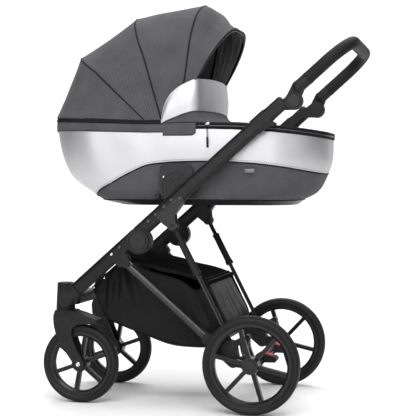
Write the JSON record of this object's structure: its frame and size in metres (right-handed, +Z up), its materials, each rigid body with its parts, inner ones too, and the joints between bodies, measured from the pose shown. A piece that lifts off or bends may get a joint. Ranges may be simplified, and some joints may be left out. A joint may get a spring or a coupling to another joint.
{
  "type": "baby stroller",
  "caption": "Folding pram frame on spoked wheels with swivel front forks, tilting push handle, cloth basket and a lift-off carrycot with a folding bow hood.",
  "frame": {"origin": "on the floor at the floor_rest mount, in the middle plane, 13 mm ahead of the middle of the outline", "axes": "+Z up, +X to the push handle, -X the way it travels, -Y its left side"},
  "size_m": [0.9885, 0.593, 1.2423],
  "materials": {
    "frame_black": "satin powder coat",
    "joint_plastic": "fine grain",
    "cover_plastic": "satin",
    "bracket_plastic": "fine grain",
    "tyre_rubber": "matt",
    "rim_plastic": "gloss",
    "steel": "plated",
    "bar_alu": "satin",
    "grip_leather": "grained leather look, stitched",
    "silver_leather": "pearl silver leather look",
    "grey_cloth": "woven melange",
    "black_cloth": "plain nylon weave",
    "tray_plastic": "gloss",
    "tub_plastic": "fine grain",
    "mattress_cloth": "soft cotton"
  },
  "bodies": {
    "front_frame": {"lower_tube_left": "frame_black", "lower_tube_right": "frame_black", "hinge_bases": "joint_plastic", "hinge_covers": "cover_plastic", "leg_brackets": "joint_plastic", "swivel_housings": "joint_plastic", "front_crossbar": "joint_plastic", "basket_tub": "black_cloth", "basket_lid": "black_cloth"},
    "upper_frame": {"main_tube_left": "frame_black", "main_tube_right": "frame_black", "hinge_knuckles": "joint_plastic", "stay_brackets": "bracket_plastic", "cot_saddles": "joint_plastic", "handle_arms": "joint_plastic"},
    "slider_left": {"fold_slider_left": "joint_plastic"},
    "slider_right": {"fold_slider_right": "joint_plastic"},
    "fork_left": {"fork_left": "joint_plastic"},
    "fork_right": {"fork_right": "joint_plastic"},
    "front_wheel_left": {"front_tyre_left": "tyre_rubber", "front_rim_left": "rim_plastic"},
    "front_wheel_right": {"front_tyre_right": "tyre_rubber", "front_rim_right": "rim_plastic"},
    "rear_frame": {"rear_leg_left": "frame_black", "rear_leg_right": "frame_black", "rear_housings": "joint_plastic", "rear_springs": "steel"},
    "rear_axle_unit": {"swing_arms": "joint_plastic", "rear_axle": "steel"},
    "rear_wheel_left": {"rear_tyre_left": "tyre_rubber", "rear_rim_left": "rim_plastic"},
    "rear_wheel_right": {"rear_tyre_right": "tyre_rubber", "rear_rim_right": "rim_plastic"},
    "brake": {"brake_pedals": "joint_plastic"},
    "stays": {"stay_sleeves": "joint_plastic", "stay_rods": "frame_black"},
    "handle": {"handle_elbows": "joint_plastic", "handlebar": "bar_alu", "handle_grip": "grip_leather"},
    "button_left": {"tilt_button_left": "joint_plastic"},
    "button_right": {"tilt_button_right": "joint_plastic"},
    "carrycot": {"cot_tub": "tub_plastic", "cot_tray": "tray_plastic", "cot_band": "silver_leather", "cot_skirt": "grey_cloth", "cot_plates": "bracket_plastic", "mattress": "mattress_cloth", "apron": "grey_cloth", "collar": "silver_leather", "hood_hem": "grey_cloth", "hood_pivots": "steel"},
    "hood_bow_a": {"bow_a": "steel", "hood_panel_a": "grey_cloth"},
    "hood_bow_b": {"bow_b": "steel", "hood_panel_b": "grey_cloth"},
    "hood_bow_c": {"bow_c": "steel", "hood_panel_c": "grey_cloth"},
    "hood_bow_front": {"bow_front": "steel", "hood_panel_front": "grey_cloth"}
  },
  "joints": [
    {"name": "frame_fold", "type": "hinge", "parent": "front_frame", "child": "upper_frame", "pos_m": [-0.153, 0, 0.51], "axis": [0, 1, 0], "range_deg": [0, 85]},
    {"name": "rear_fold", "type": "hinge", "parent": "front_frame", "child": "rear_frame", "pos_m": [-0.198, 0, 0.442], "axis": [0, 1, 0], "range_deg": [0, 57.4]},
    {"name": "stay_swing", "type": "hinge", "parent": "upper_frame", "child": "stays", "pos_m": [-0.0478, 0, 0.5583], "axis": [0, 1, 0], "range_deg": [-38.57, 0]},
    {"name": "cot_lift", "type": "slide", "parent": "front_frame", "child": "carrycot", "axis": [0, 0, 1], "range_m": [0, 0.5]},
    {"name": "front_swivel_left", "type": "hinge", "parent": "front_frame", "child": "fork_left", "pos_m": [-0.409, -0.186, 0.3], "axis": [0, 0, 1], "continuous": true},
    {"name": "front_spin_left", "type": "hinge", "parent": "fork_left", "child": "front_wheel_left", "pos_m": [-0.359, -0.186, 0.1225], "axis": [0, 1, 0], "continuous": true},
    {"name": "rear_spin_left", "type": "hinge", "parent": "rear_axle_unit", "child": "rear_wheel_left", "pos_m": [0.2, -0.2725, 0.1475], "axis": [0, 1, 0], "continuous": true},
    {"name": "fold_slide_left", "type": "slide", "parent": "upper_frame", "child": "slider_left", "axis": [0.7501, 0, 0.6613], "range_m": [0, 0.009], "stiffness_N_per_m": 400, "springref_m": -0.006},
    {"name": "tilt_press_left", "type": "slide", "parent": "handle", "child": "button_left", "axis": [0, 1, 0], "range_m": [0, 0.003], "stiffness_N_per_m": 400, "springref_m": -0.003},
    {"name": "front_swivel_right", "type": "hinge", "parent": "front_frame", "child": "fork_right", "pos_m": [-0.409, 0.186, 0.3], "axis": [0, 0, 1], "continuous": true},
    {"name": "front_spin_right", "type": "hinge", "parent": "fork_right", "child": "front_wheel_right", "pos_m": [-0.359, 0.186, 0.1225], "axis": [0, 1, 0], "continuous": true},
    {"name": "rear_spin_right", "type": "hinge", "parent": "rear_axle_unit", "child": "rear_wheel_right", "pos_m": [0.2, 0.2725, 0.1475], "axis": [0, 1, 0], "continuous": true},
    {"name": "fold_slide_right", "type": "slide", "parent": "upper_frame", "child": "slider_right", "axis": [0.7501, 0, 0.6613], "range_m": [0, 0.009], "stiffness_N_per_m": 400, "springref_m": -0.006},
    {"name": "tilt_press_right", "type": "slide", "parent": "handle", "child": "button_right", "axis": [0, -1, 0], "range_m": [0, 0.003], "stiffness_N_per_m": 400, "springref_m": -0.003},
    {"name": "rear_suspension", "type": "hinge", "parent": "rear_frame", "child": "rear_axle_unit", "pos_m": [0.14, 0, 0.152], "axis": [0, -1, 0], "range_deg": [0, 5], "stiffness_Nm_per_rad": 120, "springref_deg": -14.32, "deforming": ["rear_springs"]},
    {"name": "brake_press", "type": "hinge", "parent": "rear_axle_unit", "child": "brake", "pos_m": [0.2, 0, 0.1475], "axis": [0, 1, 0], "range_deg": [0, 18]},
    {"name": "handle_tilt", "type": "hinge", "parent": "upper_frame", "child": "handle", "pos_m": [0.32182, 0, 0.92861], "axis": [0, 1, 0], "range_deg": [-45, 50]},
    {"name": "hood_fold", "type": "hinge", "parent": "carrycot", "child": "hood_bow_a", "pos_m": [-0.062, 0, 0.868], "axis": [0, -1, 0], "range_deg": [0, 20], "deforming": ["hood_panel_a"]},
    {"name": "hood_fold_b", "type": "hinge", "parent": "hood_bow_a", "child": "hood_bow_b", "pos_m": [-0.062, 0, 0.868], "axis": [0, -1, 0], "range_deg": [0, 27.6], "deforming": ["hood_panel_b"]},
    {"name": "hood_fold_c", "type": "hinge", "parent": "hood_bow_b", "child": "hood_bow_c", "pos_m": [-0.062, 0, 0.868], "axis": [0, -1, 0], "range_deg": [0, 28.6], "deforming": ["hood_panel_c"]},
    {"name": "hood_fold_front", "type": "hinge", "parent": "hood_bow_c", "child": "hood_bow_front", "pos_m": [-0.062, 0, 0.868], "axis": [0, -1, 0], "range_deg": [0, 12], "deforming": ["hood_panel_front"]}
  ],
  "couplings": [
    {"joint": "rear_fold", "follows": "frame_fold", "ratio": 0.675},
    {"joint": "stay_swing", "follows": "frame_fold", "ratio": -0.4535},
    {"joint": "cot_lift", "follows": "frame_fold", "m_per_rad": 0.337},
    {"joint": "hood_fold_b", "follows": "hood_fold", "ratio": 1.38},
    {"joint": "hood_fold_c", "follows": "hood_fold", "ratio": 1.43},
    {"joint": "hood_fold_front", "follows": "hood_fold", "ratio": 0.6}
  ]
}
